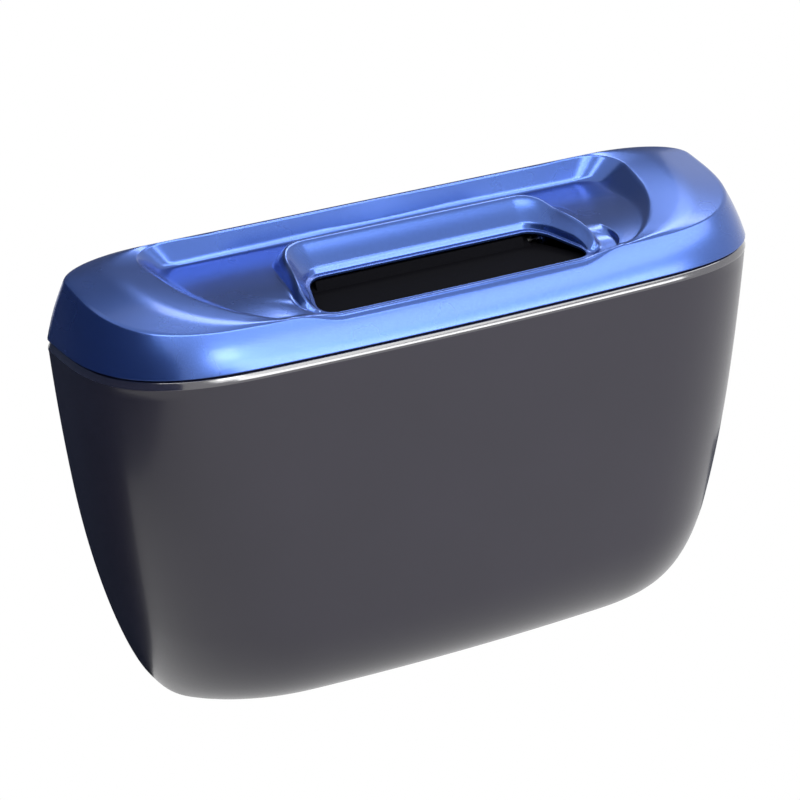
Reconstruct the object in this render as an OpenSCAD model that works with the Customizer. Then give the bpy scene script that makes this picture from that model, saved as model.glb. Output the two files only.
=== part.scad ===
// Car trash bin: a flat-backed moulded bin with a hinged cover.
// The cover is a sculpted shell with a shallow tray, a hood arched over the
// drop opening and a rolled front lip. A sprung flap closes the opening from
// below, and two hooks on the back hang the bin on a door pocket.
// The base plane is z = 0, the front faces -Y and the flat back faces +Y.

/* [Bin] */
// Width across the ends at the seam
bin_w = 235; // [215:1:260]
// Depth front to back at the seam, measured near the ends
bin_d = 67; // [60:0.5:80]
// Height from the base to the seam
bin_h = 123.5; // [105:0.5:150]
// Thickness of the bin's walls and floor
bin_wall = 2.4; // [1.8:0.1:3]
// Extra depth at the middle of the curved front
front_bow = 3.7; // [0:0.1:6]
// Reach of a front corner along the width
front_corner_x = 53.5; // [35:0.5:60]
// Reach of a front corner along the depth
front_corner_y = 48; // [35:0.5:50]
// Squareness of a front corner, where 2 is an ellipse
front_corner_power = 3; // [2:0.1:3.5]
// Reach of a rear corner along the width
rear_corner_x = 30.5; // [15:0.5:40]
// Reach of a rear corner along the depth
rear_corner_y = 13; // [8:0.5:16]
// Squareness of a front corner at the base
base_corner_power = 2.4; // [2:0.1:3]
// Straight part of each end's taper down to the base
end_lean = 6.1; // [2:0.1:9]
// Curved part of each end's taper down to the base
end_curve = 10.2; // [6:0.1:14]
// Reach of a lower end corner along the width
end_corner_x = 10.7; // [6:0.1:14]
// Height of a lower end corner
end_corner_z = 75; // [50:1:80]
// Lean of the front down to the base
front_lean = 5.9; // [3:0.1:8]
// Reach of the lower front edge's rounding along the depth
front_edge_y = 23.4; // [16:0.1:25]
// Height of the lower front edge's rounding
front_edge_z = 34; // [24:0.5:38]
// Further swell of the front's middle at the base
base_bow = 9; // [0:0.5:10]
// Rounding of the lower rear edge
rear_edge_r = 6; // [4:0.5:9]
// Rounding of the rim's outer edge
rim_r = 1.4; // [0.8:0.1:1.8]

/* [Cover] */
// Gap that shows as the seam between bin and cover
seam_gap = 0.7; // [0.4:0.1:1.2]
// Thickness of the cover's wall
cover_wall = 2.2; // [1.8:0.1:2.6]
// Height of the crease above the seam at the front
crease_front_h = 10.9; // [9:0.1:13]
// Height of the crease above the seam at the back
crease_rear_h = 22.3; // [20:0.1:25]
// How far the crease lies in from the seam at the front
crease_front_in = 6; // [4:0.1:8]
// How far the crease lies in from the seam at the ends
crease_end_in = 5.6; // [3:0.1:8]
// How far the crease lies in from the seam at the back
crease_rear_in = 3.9; // [2:0.1:6]
// Outward swell of the band below the crease
band_swell = 0.5; // [0:0.1:1]
// Depth of the skirt that drops into the bin's mouth
skirt_h = 3.6; // [2.5:0.1:6]
// Thickness of that skirt
skirt_wall = 1.6; // [1.2:0.1:2]
// Gap between the skirt and the bin's wall
skirt_gap = 0.35; // [0.25:0.05:0.6]

/* [Tray] */
// Height of the tray's floor above the seam
tray_floor_h = 14; // [13:0.1:15]
// Half width of the tray's floor at the front
tray_half_w = 77; // [72:0.5:80]
// How much the tray's floor widens to the back, on each side
tray_flare = 2.6; // [0:0.1:4]
// Width of the sloped wall at each end of the tray, at the front
tray_front_slope = 2; // [1.5:0.1:4]
// Width of the same wall at the back
tray_end_slope = 9.2; // [5:0.1:10]
// Distance of the tray floor's rear edge in front of the crease
tray_rear_in = 3.3; // [3.1:0.1:4]
// Depth of the sloped wall along the back of the tray
tray_rear_slope = 1.7; // [1.3:0.1:1.9]
// Reach of the tray's front corners along the width
tray_corner_x = 22; // [18:0.5:24]
// Reach of the tray's front corners along the depth
tray_corner_y = 30; // [26:0.5:32]
// Reach of the tray's rear corners
tray_rear_corner = 8; // [6:0.5:10]

/* [Opening and hood] */
// Half width of the opening at the front
mouth_front_half_w = 47.8; // [44:0.1:49]
// Half width of the opening at the back
mouth_rear_half_w = 39.6; // [36:0.1:41]
// Place of the opening's front edge, behind the crease
mouth_front_in = 2.3; // [2.1:0.1:2.6]
// Place of the opening's rear edge, in front of the middle plane
mouth_rear_y = -1.6; // [-3:0.1:-1]
// Height of the opening's edge above the seam at the front
mouth_front_h = 9.7; // [9.4:0.1:10]
// Height of the opening's edge above the seam at the back
mouth_rear_h = 12; // [11.6:0.1:12.4]
// Radius of the opening's corners
mouth_corner_r = 6; // [4:0.5:7]
// Thickness of the opening's edge
mouth_edge_t = 0.9; // [0.7:0.1:1.2]
// Height of the hood's crest above the seam
hood_h = 21.6; // [18:0.1:23]
// Distance of the hood's crest from the opening, at the back
hood_crest_y = 10; // [8:0.1:11]
// Distance of the hood's foot from the opening, at the back
hood_foot_y = 17; // [15:0.1:18]
// Distance of the hood's crest from the opening, at the ends
hood_crest_x = 3.9; // [3.4:0.1:4.4]
// Distance of the hood's foot from the opening, at the ends
hood_foot_x = 6.2; // [5.8:0.1:6.8]
// Height of the riser behind the opening
riser_h = 2; // [1:0.1:2.4]
// Drop of the rolled front lip below the crease
lip_drop = 2.6; // [2:0.1:3]
// Rise of that lip above the opening's front edge
lip_rise = 0.4; // [0.2:0.1:0.6]
// Length over which the lip runs out into the crease at each end
lip_run = 16; // [12:0.5:18]
// Distance from the opening's right end to the outer edge of the scoop there
scoop_x = 12.7; // [11:0.1:14]
// Depth of that scoop
scoop_h = 2; // [1:0.1:2.2]
// Depth of the groove round the opening's left front corner
groove_h = 0.8; // [0.4:0.1:1.2]

/* [Flap] */
// Thickness of the flap's plate
flap_t = 2; // [1.6:0.1:2.5]
// How far the flap reaches past the opening at each end
flap_lap = 3.4; // [2.5:0.1:4]
// Radius of the flap's steel shaft
shaft_r = 1; // [0.8:0.05:1.2]
// Distance of the shaft behind the opening's rear edge
shaft_back = 4.2; // [4:0.1:5]
// Drop of the shaft below the opening's rear edge
shaft_drop = 5; // [4.8:0.1:6]
// Radius of the lugs that carry the flap on its shaft
flap_lug_r = 2.4; // [2.1:0.1:2.6]
// Width of each of those lugs
flap_lug_w = 4; // [3:0.5:6]
// Thickness of the ears that hold the shaft under the cover
shaft_ear_t = 3; // [2.5:0.1:4]
// Wire radius of the flap's springs
spring_wire_r = 0.35; // [0.25:0.05:0.4]
// Turns of each spring
spring_turns = 5; // [3:1:6]
// Reach of a spring's leg under the flap
spring_leg = 13; // [10:0.5:16]
// Reach of a spring's leg under the tray
spring_foot = 14.5; // [13:0.5:16]
// Gap under the opening's front edge that the closed flap leaves
flap_gap = 0.3; // [0.2:0.1:0.6]

/* [Hinge] */
// Distance of each hinge from the middle
hinge_x = 60; // [50:1:68]
// Radius of the hinge knuckles
knuckle_r = 3; // [2.6:0.1:3.2]
// Gap between a knuckle and the wall beside it
knuckle_gap = 0.4; // [0.3:0.1:0.8]
// Length of the cover's knuckle
knuckle_w = 14; // [10:0.5:18]
// Thickness of each of the bin's hinge ears
hinge_ear_t = 4; // [3:0.5:5]
// Radius of the hinge pins
pin_r = 1.25; // [1:0.05:1.5]

/* [Hooks] */
// Distance of each hook from the middle
hook_x = 28; // [24:1:33]
// Width of a hook's tongue
hook_w = 15; // [12:0.5:18]
// Length of a hook's plate and tongue
hook_l = 30; // [24:0.5:38]
// Thickness of a hook
hook_t = 2.6; // [2.2:0.1:3]
// Clear space between the guide and the hook's tongue
hook_space = 6; // [5:0.1:9]
// Depth of a hook's top below the seam
hook_top = 5; // [4:0.1:10]
// Thickness of the guides that hold the hooks
guide_t = 1.8; // [1.5:0.1:2.4]

/* [Fits] */
// Radial clearance of a pin or shaft in its bore
pin_fit = 0.05; // [0.03:0.01:0.08]
// Clearance beside parts that move
side_fit = 0.3; // [0.25:0.05:0.5]
// Clearance of a hook's plate in its guide
hook_fit = 0.2; // [0.1:0.05:0.3]

/* [Hidden] */
$fn = 48;
bin_color = "#3b3942";
cover_color = "#3f6fd8";
inner_color = "#18181b";
steel_color = "#b9bcc0";

// Stations round every ring, so that rings of any size can be joined
corner_n = 8;
front_n = 16;
side_n = 4;
rear_n = 14;

half_w = bin_w / 2;
half_d = bin_d / 2;
crease_y0 = -half_d + crease_front_in;
crease_y1 = half_d - crease_rear_in;
mouth_y0 = crease_y0 + mouth_front_in;
tray_rear_y = crease_y1 - tray_rear_in;
hinge_y = half_d + knuckle_r + knuckle_gap;
hinge_z = bin_h;
shaft_y = mouth_rear_y + shaft_back;
shaft_z = bin_h + mouth_rear_h - shaft_drop;
floor_under_z = bin_h + tray_floor_h - cover_wall;
hook_plate_w = hook_w + 5;

function mix(a, b, t) = a + (b - a) * t;
function clamp01(t) = min(1, max(0, t));
function smooth(t) = let (c = clamp01(t)) c * c * (3 - 2 * c);
function last(list) = list[len(list) - 1];
function power(t, ex) = sign(t) * pow(abs(t), 2 / ex);

// One rounded corner of an outline, from angle a0 to a1
function corner(centre, reach, ex, a0, a1) = [
    for (i = [0 : corner_n])
        let (a = mix(a0, a1, i / corner_n))
            [centre.x + reach.x * power(cos(a), ex), centre.y + reach.y * power(sin(a), ex)]
];

// The points between two corners
function run(a, b, n) = [for (i = [1 : n - 1]) mix(a, b, i / n)];

// A closed outline, seen from above and counter-clockwise. Its half width goes
// from x0 at the front to x1 at the back, and its corners reach rf and rr.
function outline(x0, x1, y0, y1, rf, rr, ex) =
    let (
        fr = corner([x0 - rf.x, y0 + rf.y], rf, ex, -90, 0),
        br = corner([x0 - rr.x, y1 - rr.y], rr, 2, 0, 90),
        bl = corner([rr.x - x0, y1 - rr.y], rr, 2, 90, 180),
        fl = corner([rf.x - x0, y0 + rf.y], rf, ex, 180, 270),
        square = concat(
            fr, run(last(fr), br[0], side_n), br, run(last(br), bl[0], rear_n),
            bl, run(last(bl), fl[0], side_n), fl, run(last(fl), fr[0], front_n)))
    [for (q = square) bowed([q.x * mix(1, x1 / x0, (q.y - y0) / (y1 - y0)), q.y])];

// The whole front swells forward towards the middle of its width
function swell(q, w) = max(0, 1 - pow(q.x / w, 2)) * clamp01(-q.y / half_d);
function bowed(q) = [q.x, q.y - front_bow * swell(q, half_w)];

function lift(ring, z) = [for (q = ring) [q.x, q.y, z]];

// Joins rings of equal length into one surface. A closed one runs back to its
// first ring, and an open one is capped at both ends.
module loft(rings, closed = false) {
    n = len(rings[0]);
    m = len(rings);
    function at(i, j) = (i % m) * n + j % n;
    walls = [
        for (i = [0 : closed ? m - 1 : m - 2], j = [0 : n - 1])
            each [[at(i, j), at(i + 1, j + 1), at(i, j + 1)], [at(i, j), at(i + 1, j), at(i + 1, j + 1)]]
    ];
    caps = closed ? [] : [[for (j = [0 : n - 1]) j], [for (j = [n - 1 : -1 : 0]) (m - 1) * n + j]];
    polyhedron(points = [for (ring = rings) each ring], faces = concat(walls, caps), convexity = 8);
}

// How far an edge of reach r has come in at depth s, when its rounding starts
// at height h above the base
function rounding(s, r, h) = let (q = clamp01((s - (bin_h - h)) / h)) r * (1 - sqrt(max(0, 1 - q * q)));

// Outline of the bin at depth s below the seam, taken in by a wall
function bin_outline(s, inset) =
    let (
        t = s / bin_h,
        x = half_w - end_lean * t - end_curve * t * t - rounding(s, end_corner_x, end_corner_z) - inset,
        y0 = -half_d + front_lean * t + rounding(s, front_edge_y, front_edge_z) + inset,
        y1 = half_d - rounding(s, rear_edge_r, rear_edge_r) - inset,
        k = x / half_w,
        rr = [rear_corner_x * k - inset, min(rear_corner_y - inset, 0.35 * (y1 - y0))],
        rf = [front_corner_x * k - inset, min(front_corner_y - inset, y1 - y0 - rr.y - 1)],
        ring = outline(x, x, y0, y1, rf, rr, mix(front_corner_power, base_corner_power, t)))
    [for (q = ring) [q.x, q.y - base_bow * t * swell(q, x)]];

// The cover's outline at the seam, taken in by a wall
function seam_outline(inset) =
    outline(half_w - inset, half_w - inset, inset - half_d, half_d - inset,
        [front_corner_x - inset, front_corner_y - inset],
        [rear_corner_x - inset, rear_corner_y - inset], front_corner_power);

crease_outline = outline(half_w - crease_end_in, half_w - crease_end_in, crease_y0, crease_y1,
    [front_corner_x - crease_end_in, front_corner_y - crease_front_in],
    [rear_corner_x, rear_corner_y], front_corner_power);

// Height above the seam of the top that the crease would carry with no tray
function crown(q) = mix(crease_front_h, crease_rear_h, clamp01((q.y + half_d) / bin_d));

// 1 along the front of the opening, 0 past its ends
lip_end_x = mouth_front_half_w + 9.2;
function lip(q) = q.y > mouth_y0 + 4 ? 0 : smooth((lip_end_x - abs(q.x)) / lip_run);

// A point of the band at share t of the way from the seam to the crease, which
// dips to the lip in front of the opening
function band_point(a, b, t, inset) =
    let (
        top = crown(b) - lip_drop * lip(b),
        share = t * top / crown(b),
        plan = mix(a, b, share - band_swell / crease_front_in * sin(180 * share)))
    [plan.x, plan.y, mix(seam_gap, top, t)];

seam_ring = seam_outline(0);
function band_ring(t) = [for (j = [0 : len(seam_ring) - 1]) band_point(seam_ring[j], crease_outline[j], t)];

// Outlines that run from the crease to the opening. Each lies dx, dy0 and dy1
// outside the opening at its ends, its front and its back.
function ring_outside(dx, dy0, dy1, r) =
    outline(mouth_front_half_w + dx, mouth_rear_half_w + dx, mouth_y0 - dy0, mouth_rear_y + dy1,
        [r, r], [r, r], 2);

// Share of the hood's height that is left at a place along the depth
hood_end_y = mouth_y0 + 1.2;
function hood_share(y) = pow(cos(90 * clamp01(y / hood_end_y)), 0.8);
function mouth_h(q) = mix(mouth_front_h, mouth_rear_h, clamp01((q.y - mouth_y0) / (mouth_rear_y - mouth_y0)));
function crest_h(q) = mix(mouth_h(q) - 0.4, hood_h, hood_share(q.y));
function riser(q) = riser_h * clamp01((q.y - mouth_y0 - 1) / 8);
function tray_h(q) = min(tray_floor_h, crown(q));

// The pads at both ends stand a little proud of the line from crease to crease
function domed(q, h) =
    crown(q) + h * sin(180 * clamp01((q.y + half_d) / bin_d)) * smooth((abs(q.x) - lip_end_x) / 14);

// Runs a height down to the lip in front of the opening
lip_h = mouth_front_h + lip_rise;
function to_lip(q, h, at_lip) = mix(h, at_lip, lip(q));
function scoop_floor(q) =
    to_lip(q, tray_h(q) - (q.x > 0 ? scoop_h : groove_h) * smooth((-14 - q.y) / 6), mouth_front_h - 0.3);

function raised(ring, h) = [for (q = ring) [q.x, q.y, h(q)]];

// Moves the front of a ring out over the rolled lip
function pushed(ring, d) = [for (q = ring) [q.x, q.y - d * lip(q)]];

// The cover's upper side, from the crease inwards to the opening's edge
edge_ring = outline(half_w - crease_end_in - 1.2, half_w - crease_end_in - 1.2, crease_y0 + 0.25, crease_y1 - 0.9,
    [front_corner_x - crease_end_in - 1, front_corner_y - crease_front_in - 1],
    [rear_corner_x - 1, rear_corner_y - 1], front_corner_power);
tray_top = outline(tray_half_w + tray_front_slope, tray_half_w + tray_flare + tray_end_slope,
    crease_y0 + 0.5, tray_rear_y + tray_rear_slope,
    [tray_corner_x + 2, tray_corner_y + 2], [tray_rear_corner + 4, tray_rear_corner + 4], 2);
tray_foot = outline(tray_half_w, tray_half_w + tray_flare, crease_y0 + 0.7, tray_rear_y,
    [tray_corner_x, tray_corner_y], [tray_rear_corner, tray_rear_corner], 2);
// Wide round the scoop on the right, and close to the hood's foot on the left
function scoop_ring(inset, dy0) =
    let (
        y1 = mouth_rear_y + hood_foot_y + 1 - inset,
        wide = outline(mouth_front_half_w + scoop_x - inset, mouth_front_half_w + scoop_x - 4.5 - inset,
            mouth_y0 - dy0, y1, [7, 9], [12, 12], 2),
        close = outline(mouth_front_half_w + hood_foot_x + 1.4 - inset, mouth_rear_half_w + hood_foot_x + 1.4 - inset,
            mouth_y0 - dy0, y1, [9, 9], [12, 12], 2))
    [for (j = [0 : len(wide) - 1]) wide[j].x > 0 ? wide[j] : close[j]];

scoop_edge = scoop_ring(0, 1.45);
scoop_foot = scoop_ring(0.7, 1.3);
hood_foot = outline(mouth_front_half_w + hood_foot_x, mouth_rear_half_w + hood_foot_x - 1.2,
    mouth_y0 - 1.15, mouth_rear_y + hood_foot_y, [9, 9], [10, 10], 2);
hood_back = ring_outside(mix(hood_foot_x, hood_crest_x, 0.6), 1, mix(hood_foot_y, hood_crest_y, 0.54), 9);
hood_crest = ring_outside(hood_crest_x, 0.8, hood_crest_y, 8.2);
hood_face = ring_outside(mix(hood_crest_x, 1.3, 0.5), 0.6, mix(hood_crest_y, 2.1, 0.5), 7.6);
riser_top = ring_outside(1.3, 0.4, 2.1, mouth_corner_r + 0.9);
riser_foot = ring_outside(0.95, 0.2, 1.5, mouth_corner_r + 0.6);
mouth_edge = ring_outside(0, 0, 0, mouth_corner_r);
mouth_under = ring_outside(1.6, 0.6, 1.8, mouth_corner_r + 1);

pad_ring = [for (j = [0 : len(tray_top) - 1]) mix(edge_ring[j], tray_top[j], 0.5)];

top_rings = [
    raised(pushed(edge_ring, 1.1), function (q) to_lip(q, domed(q, 0.5) + 0.1, lip_h - 0.65)),
    raised(pushed(pad_ring, 0.8), function (q) to_lip(q, domed(q, 1.5) + 0.1, lip_h - 0.15)),
    raised(pushed(tray_top, 0.6), function (q) to_lip(q, domed(q, 0.7) + 0.05, lip_h)),
    raised(pushed(tray_foot, 0.5), function (q) to_lip(q, tray_h(q), lip_h + 0.05)),
    raised(pushed(scoop_edge, 0.15), function (q) to_lip(q, tray_h(q), lip_h)),
    raised(scoop_foot, function (q) scoop_floor(q) + 0.05),
    raised(hood_foot, function (q) scoop_floor(q)),
    raised(hood_back, function (q) mix(scoop_floor(q), crest_h(q), 0.55)),
    raised(hood_crest, function (q) crest_h(q)),
    raised(hood_face, function (q) mix(crest_h(q), mouth_h(q) + riser(q), 0.52)),
    raised(riser_top, function (q) mouth_h(q) + riser(q)),
    raised(riser_foot, function (q) mouth_h(q) + 0.1),
    raised(mouth_edge, function (q) mouth_h(q))
];

// The inner side follows the upper side at the wall's thickness
inner_rings = [
    raised(mouth_edge, function (q) mouth_h(q) - mouth_edge_t),
    raised(mouth_under, function (q) mouth_h(q) - mouth_edge_t - 0.3),
    raised(hood_crest, function (q) mix(mouth_h(q) - 1.9, hood_h - cover_wall - 0.3, hood_share(q.y))),
    raised(hood_foot, function (q) scoop_floor(q) - cover_wall + 0.7),
    raised(tray_foot, function (q) to_lip(q, tray_h(q), lip_h + 0.05) - cover_wall),
    [for (q = pushed(tray_top, 0.1))
        let (rear = smooth((q.y - tray_rear_y + 8) / 8))
            [q.x, q.y + 0.2 * rear, mix(to_lip(q, crown(q), lip_h + 0.1) - cover_wall, tray_floor_h + 0.2, rear)]],
    [for (j = [0 : len(seam_ring) - 1]) inner_band_point(j, 0.7)],
    [for (j = [0 : len(seam_ring) - 1]) inner_band_point(j, 0.35)]
];

function inner_band_point(j, t) =
    let (
        a = seam_outline(cover_wall)[j],
        b = crease_outline[j],
        out = band_ring(t)[j],
        shift = a - [seam_ring[j].x, seam_ring[j].y])
    [out.x + shift.x, out.y + shift.y, out.z];

skirt_in = bin_wall + skirt_gap;
skirt_rings = [
    lift(seam_outline(skirt_in + skirt_wall), seam_gap + 1.2),
    lift(seam_outline(skirt_in + skirt_wall), -skirt_h),
    lift(seam_outline(skirt_in), -skirt_h),
    lift(seam_outline(skirt_in), seam_gap)
];

module bin() {
    color(bin_color) {
        difference() {
            union() {
                translate([0, 0, bin_h]) loft(bin_rings());
                for (side = [-1, 1]) {
                    hinge_ears(side * hinge_x);
                    translate([side * hook_x, half_d, bin_h - hook_top]) hook_guide();
                }
            }
            for (side = [-1, 1])
                translate([side * hinge_x, hinge_y, hinge_z])
                    rotate([0, 90, 0]) cylinder(r = pin_r + pin_fit, h = 3 * knuckle_w, center = true);
        }
    }
}

// Rings from the middle of the base up the outside and down the inside
function bin_rings() =
    let (
        steps = 8,
        edge_top = bin_h - front_edge_z,
        corner_top = bin_h - end_corner_z,
        outer = concat(
            [for (i = [0 : steps]) bin_h - front_edge_z * (1 - cos(90 * i / steps))],
            [for (i = [1 : 4]) mix(edge_top, corner_top, i / 4)],
            [for (i = [1 : 4]) mix(corner_top, 0, i / 5)]),
        deep = bin_h - bin_wall,
        inner = concat([rim_r], [for (i = [1 : 7]) i / 8 * (deep - front_edge_z)],
            [for (i = [6 : -1 : 0]) deep - front_edge_z * (1 - cos(90 * i / 6))]))
    concat(
        [for (s = outer) lift(bin_outline(s, 0), -s)],
        [for (i = [0 : 3]) lift(bin_outline(0, rim_r * (1 - cos(30 * i))), -rim_r * (1 - sin(30 * i)))],
        [lift(bin_outline(0, bin_wall), 0)],
        [for (s = inner) lift(bin_outline(s * bin_h / deep, bin_wall), -s)]);

// Two ears beside the cover's knuckle, joined to the back wall below it
module hinge_ears(x) {
    for (side = [-1, 1])
        translate([x + side * (knuckle_w / 2 + side_fit + hinge_ear_t / 2), hinge_y, hinge_z])
            rotate([90, 0, 90]) linear_extrude(hinge_ear_t, center = true) ear_profile();
}

// An ear's side view about its bore, with the wall on the left
module ear_profile() {
    reach = knuckle_r + knuckle_gap + bin_wall / 2;
    circle(knuckle_r);
    polygon([[-reach, -0.8], [0, -0.8], [knuckle_r, 0], [knuckle_r, -1], [-reach, -3 * knuckle_r]]);
}

// Channel on the back wall that a hook's plate slides down into
module hook_guide() {
    inside = hook_t + 2 * hook_fit;
    depth = inside + guide_t;
    guide_l = hook_l - hook_t - 1;
    mid_z = -hook_t - 1 - guide_l / 2;
    for (side = [-1, 1]) {
        translate([side * (hook_plate_w / 2 + hook_fit + guide_t / 2), depth / 2 - bin_wall / 4, mid_z])
            cube([guide_t, depth + bin_wall / 2, guide_l], center = true);
        translate([side * (hook_plate_w / 2 + hook_fit - 1), inside + guide_t / 2, mid_z])
            cube([guide_t + 2, guide_t, guide_l], center = true);
    }
    translate([0, depth / 2 - bin_wall / 4, mid_z - guide_l / 2 - guide_t / 2])
        cube([hook_plate_w + 2 * hook_fit + 2 * guide_t, depth + bin_wall / 2, guide_t], center = true);
}

module cover() {
    color(cover_color) {
        difference() {
            union() {
                translate([0, 0, bin_h]) loft(cover_rings(), closed = true);
                for (side = [-1, 1]) {
                    translate([side * hinge_x, hinge_y, hinge_z]) cover_knuckle();
                    translate([side * shaft_ear_x, 0, 0]) shaft_ear();
                }
                stop_ledge();
            }
            for (side = [-1, 1])
                translate([side * hinge_x, hinge_y, hinge_z])
                    rotate([0, 90, 0]) cylinder(r = pin_r + pin_fit, h = 2 * knuckle_w, center = true);
            translate([0, shaft_y, shaft_z])
                rotate([0, 90, 0]) cylinder(r = shaft_r + pin_fit, h = 4 * mouth_rear_half_w, center = true);
        }
    }
}

function cover_rings() = concat(
    [band_ring(0), band_ring(0.3), band_ring(0.6), band_ring(0.85), band_ring(1)],
    top_rings, inner_rings, skirt_rings);

// The cover's knuckle and the web that carries it on the cover's back wall
module cover_knuckle() {
    reach = knuckle_r + knuckle_gap + cover_wall / 2;
    rotate([90, 0, 90]) linear_extrude(knuckle_w, center = true) {
        circle(knuckle_r);
        polygon([[-reach, 1.5], [-knuckle_r * 0.7, 1.5], [0, 0], [knuckle_r * 0.9, 1], [-reach, 2.6 * knuckle_r]]);
    }
}

shaft_ear_x = mouth_rear_half_w + flap_lap + side_fit + 1.5 + shaft_ear_t / 2;

// An ear that hangs from under the tray and reaches forward to the shaft
module shaft_ear() {
    root_y = mouth_rear_y + hood_foot_y;
    rotate([90, 0, 90]) linear_extrude(shaft_ear_t, center = true) {
        translate([shaft_y, shaft_z]) circle(2.6 * shaft_r);
        polygon([
            [root_y + 1, floor_under_z + 1], [root_y + 7, floor_under_z + 1], [root_y + 7, floor_under_z - 1],
            [shaft_y + 2, shaft_z - 2.4], [shaft_y, shaft_z - 2.4], [shaft_y - 1, shaft_z + 1.5],
            [shaft_y + 3, floor_under_z - 1.2], [root_y + 1, floor_under_z - 1.2]
        ]);
    }
}

flap_top_z = bin_h + mouth_front_h - cover_wall - flap_gap;

// Ledge inside the front lip that the flap closes up against
module stop_ledge() {
    y = bowed([0, mouth_y0]).y;
    translate([4 - mouth_front_half_w, y - 1.5, flap_top_z + flap_gap])
        cube([2 * mouth_front_half_w - 8, 3.7, 1.2]);
}

module flap() {
    x0 = mouth_front_half_w + flap_lap;
    x1 = mouth_rear_half_w + flap_lap - 1;
    y0 = bowed([0, mouth_y0]).y - 0.8;
    y1 = shaft_y - flap_lug_r - 0.7;
    r = 5;
    color(inner_color) {
        difference() {
            union() {
                translate([0, 0, flap_top_z - flap_t]) linear_extrude(flap_t)
                    polygon(concat(
                        [[x1, y1], [-x1, y1]],
                        [for (i = [0 : 6]) [-x0 + r - r * cos(15 * i), y0 + r - r * sin(15 * i)]],
                        [for (i = [6 : -1 : 0]) [x0 - r + r * cos(15 * i), y0 + r - r * sin(15 * i)]]));
                for (side = [-1, 1]) {
                    translate([side * flap_lug_x, 0, 0]) flap_lug();
                    translate([side * mouth_rear_half_w / 3, 0, 0]) flap_rib(y0 + 6, y1 - 3);
                }
                flap_upstand(y1);
            }
            translate([0, shaft_y, shaft_z])
                rotate([0, 90, 0]) cylinder(r = shaft_r + pin_fit, h = 4 * mouth_rear_half_w, center = true);
        }
    }
}

flap_lug_x = mouth_rear_half_w - 2;
spring_x = 0.67 * mouth_rear_half_w;

// A round lug on the shaft, with the arm that joins it to the plate
module flap_lug() {
    rotate([90, 0, 90]) linear_extrude(flap_lug_w, center = true) {
        translate([shaft_y, shaft_z]) circle(flap_lug_r);
        polygon([
            [shaft_y, shaft_z - flap_lug_r], [shaft_y, shaft_z + flap_lug_r * 0.7],
            [shaft_y - flap_lug_r - 3, flap_top_z], [shaft_y - flap_lug_r - 6, flap_top_z - flap_t]
        ]);
    }
}

// A wall along the plate's rear edge that closes the gap under the riser
module flap_upstand(y) {
    top = bin_h + mouth_rear_h - mouth_edge_t - 0.9;
    rotate([90, 0, 90]) linear_extrude(2 * flap_lug_x, center = true)
        polygon([[y, flap_top_z - flap_t], [y, top], [y - 1.2, top], [y - 2.4, flap_top_z - 0.5],
            [y - 3.4, flap_top_z - flap_t]]);
}

// A stiffening rib under the plate
module flap_rib(y0, y1) {
    rotate([90, 0, 90]) linear_extrude(1.4, center = true)
        polygon([[y0, flap_top_z - 1], [y1, flap_top_z - 1], [y1, flap_top_z - flap_t - 2.5],
            [y0 + 5, flap_top_z - flap_t - 2.5], [y0, flap_top_z - flap_t - 0.5]]);
}

module flap_shaft() {
    color(steel_color)
        translate([0, shaft_y, shaft_z])
            rotate([0, 90, 0]) cylinder(r = shaft_r, h = 2 * shaft_ear_x + shaft_ear_t + 1, center = true);
}

// Points of a spring: a leg under the flap, the coil and a leg under the tray
function spring_path() =
    let (
        r = shaft_r + pin_fit + spring_wire_r + 0.5,
        pitch = 2 * spring_wire_r + 0.15,
        steps = 12,
        leg_z = flap_top_z - flap_t - spring_wire_r - 0.1 - shaft_z,
        foot_x = pitch * (spring_turns + 0.6),
        foot_z = floor_under_z - shaft_z - spring_wire_r + 0.3)
    concat(
        [[0, -spring_leg, leg_z], [0, -0.7 * spring_leg, leg_z], [0, -flap_lug_r, leg_z]],
        [for (i = [0 : spring_turns * steps + 2])
            let (a = -100 + 360 * i / steps) [pitch * (i / steps + 0.3), r * cos(a), r * sin(a)]],
        [[foot_x, 0.7 * spring_foot, foot_z], [foot_x, spring_foot, foot_z]]);

// A round wire along a path, as rings square to it
module wire(path, r) {
    n = len(path);
    function unit(v) = v / norm(v);
    function dir(i) = unit(path[min(i + 1, n - 1)] - path[max(i - 1, 0)]);
    rings = [
        for (i = [0 : n - 1])
            let (d = dir(i), u = unit([1, 0, 0] - d * d.x), v = cross(d, u))
                [for (k = [0 : 5]) path[i] + r * (cos(60 * k) * u + sin(60 * k) * v)]
    ];
    loft(rings);
}

module flap_spring(side) {
    color(steel_color)
        mirror([side < 0 ? 1 : 0, 0, 0])
            translate([spring_x, shaft_y, shaft_z]) wire(spring_path(), spring_wire_r);
}

module flap_spring_left() {
    flap_spring(-1);
}

module flap_spring_right() {
    flap_spring(1);
}

module hinge_pin(side) {
    span = knuckle_w + 2 * side_fit + 2 * hinge_ear_t;
    color(steel_color)
        translate([side * hinge_x, hinge_y, hinge_z])
            rotate([0, side * 90, 0]) {
                cylinder(r = pin_r, h = span + 1, center = true);
                translate([0, 0, span / 2 + 0.1]) cylinder(r = pin_r + 0.8, h = 1);
            }
}

module hinge_pin_left() {
    hinge_pin(-1);
}

module hinge_pin_right() {
    hinge_pin(1);
}

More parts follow.
